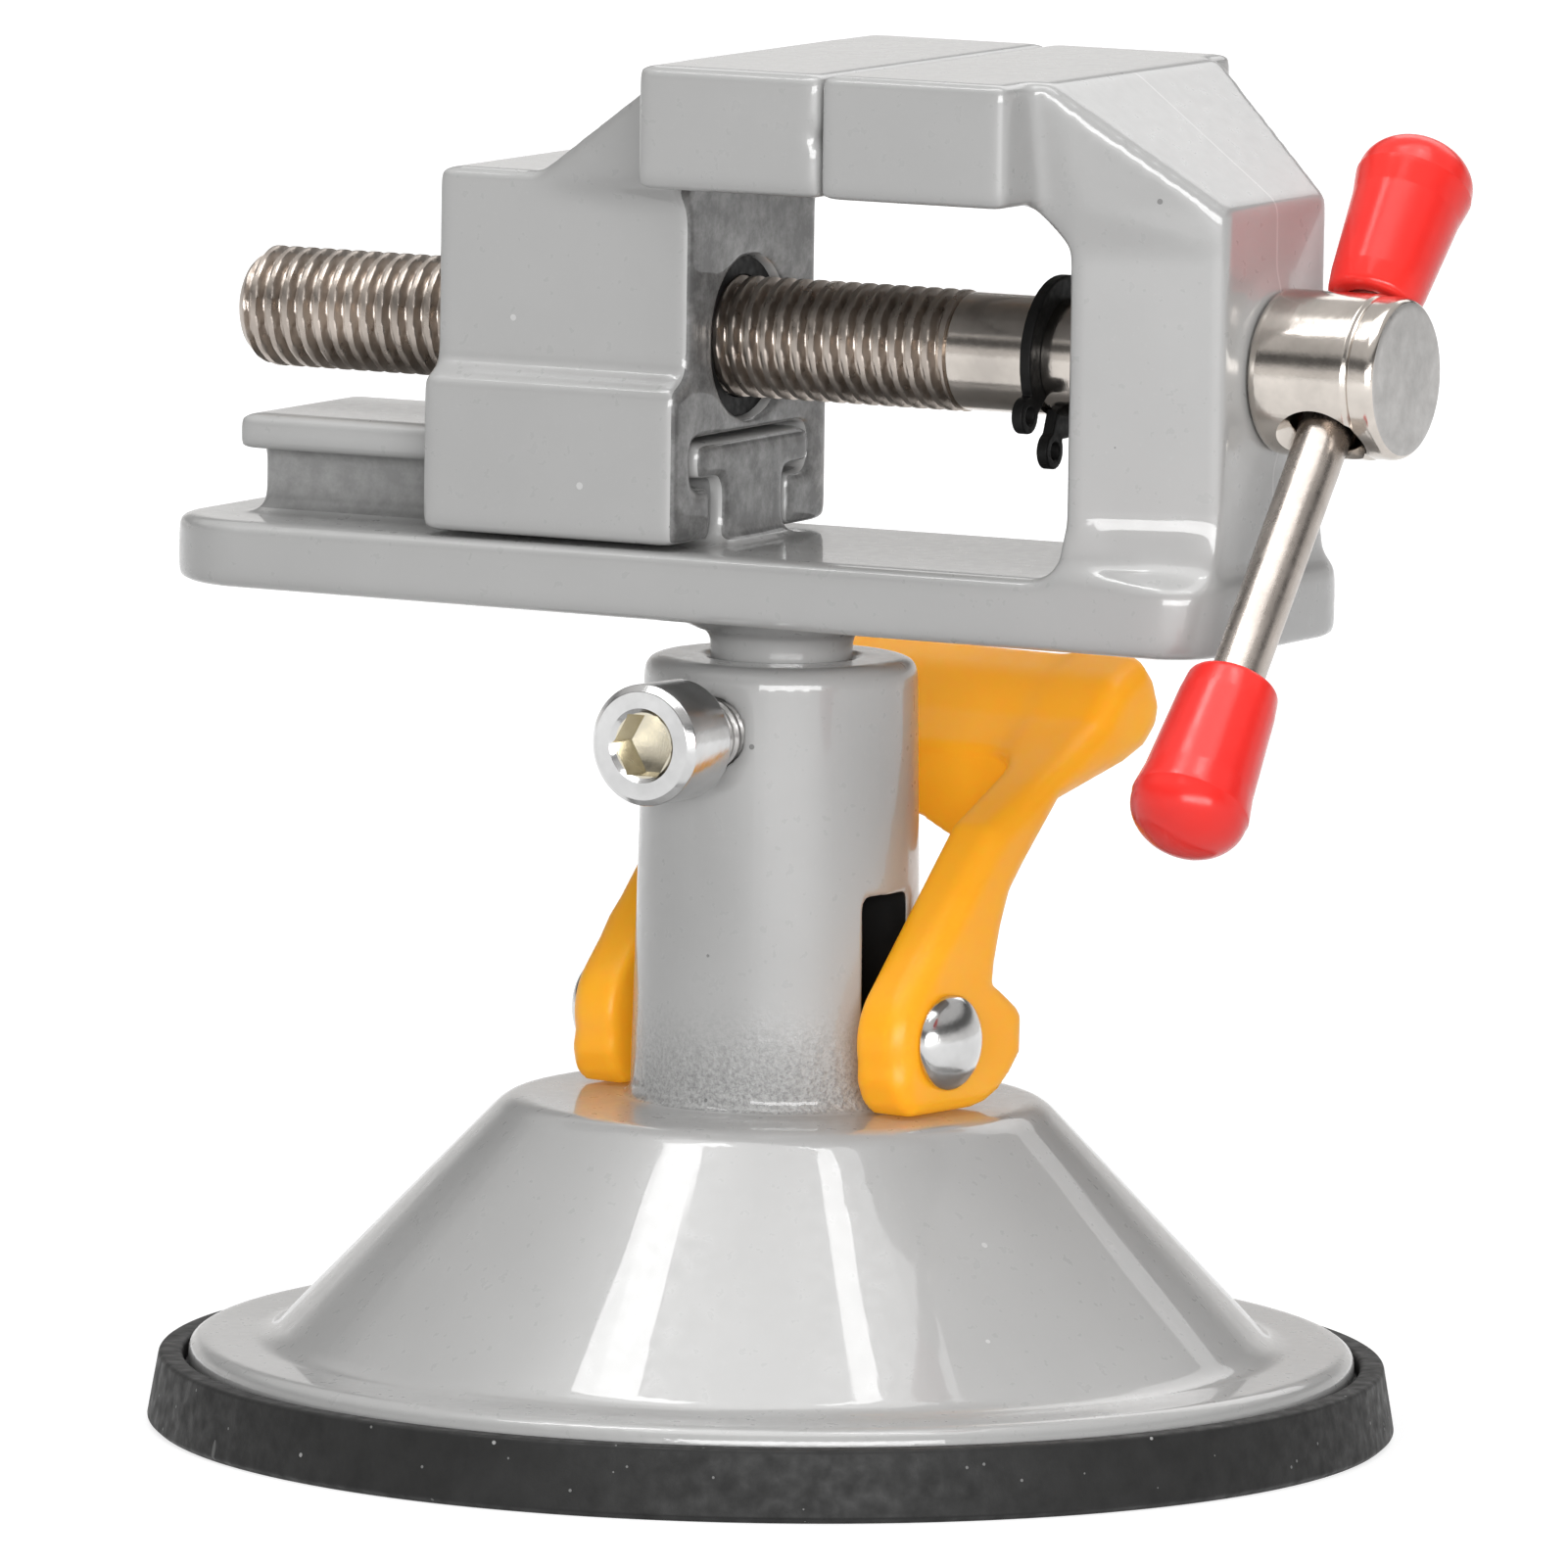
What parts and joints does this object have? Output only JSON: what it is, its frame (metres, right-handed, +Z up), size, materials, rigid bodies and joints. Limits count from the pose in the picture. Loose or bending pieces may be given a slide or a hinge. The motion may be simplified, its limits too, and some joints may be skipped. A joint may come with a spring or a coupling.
{
  "type": "suction base vise",
  "caption": "Small bench vise with a swivelling head on a round suction base, locked by a cam lever, opened by a lead screw with a sliding handle bar.",
  "frame": {"origin": "centre of the suction pad's face, where it meets the table", "axes": "+Z up along the post, +X along the lead screw towards its handle, the clamp screw faces -Y"},
  "size_m": [0.1098, 0.1032, 0.114],
  "materials": {
    "grey_casting": "light grey gloss paint over die casting",
    "black_rubber": "matt with a slight sheen",
    "zinc_plated_steel": "bright zinc plate",
    "blackened_steel": "black oxide",
    "orange_plastic": "satin moulded",
    "nickel_plated_steel": "bright nickel plate",
    "red_plastic": "soft moulded, glossy"
  },
  "bodies": {
    "base": {"base_housing": "grey_casting", "suction_pad": "black_rubber"},
    "stem": {"pull_stem": "blackened_steel", "pad_plate": "zinc_plated_steel", "lever_pin": "zinc_plated_steel"},
    "lever": {"lever": "orange_plastic"},
    "clamp": {"clamp_screw": "zinc_plated_steel"},
    "head": {"vise_bed": "grey_casting"},
    "jaw": {"moving_jaw": "grey_casting", "threaded_bush": "blackened_steel"},
    "screw": {"lead_screw": "nickel_plated_steel", "retaining_ring": "blackened_steel"},
    "bar": {"t_bar": "nickel_plated_steel", "upper_cap": "red_plastic", "lower_cap": "red_plastic"}
  },
  "joints": [
    {"name": "swivel", "type": "hinge", "parent": "base", "child": "head", "pos_m": [0, 0, 0.065], "axis": [0, 0, 1], "continuous": true},
    {"name": "screw_spin", "type": "hinge", "parent": "head", "child": "screw", "pos_m": [0, 0, 0.0903], "axis": [1, 0, 0], "range_deg": [0, 7200]},
    {"name": "jaw_slide", "type": "slide", "parent": "head", "child": "jaw", "axis": [-1, 0, 0], "range_m": [0, 0.0301]},
    {"name": "bar_slide", "type": "slide", "parent": "screw", "child": "bar", "axis": [0, 0.6347, 0.7727], "range_m": [0, 0.0232]},
    {"name": "stem_lift", "type": "slide", "parent": "base", "child": "stem", "axis": [0, 0, 1], "range_m": [0, 0.0052], "deforming": ["suction_pad"]},
    {"name": "lever_swing", "type": "hinge", "parent": "stem", "child": "lever", "pos_m": [0, 0, 0.0336], "axis": [-0.9877, 0.1564, 0], "range_deg": [0, 70]},
    {"name": "clamp_spin", "type": "hinge", "parent": "base", "child": "clamp", "pos_m": [0, 0, 0.0586], "axis": [0.0663, 0.9978, 0], "range_deg": [-720, 144]}
  ],
  "couplings": [
    {"joint": "jaw_slide", "follows": "screw_spin", "m_per_rad": 0.00023873},
    {"joint": "lever_swing", "follows": "stem_lift", "rad_per_m": 234.94}
  ]
}
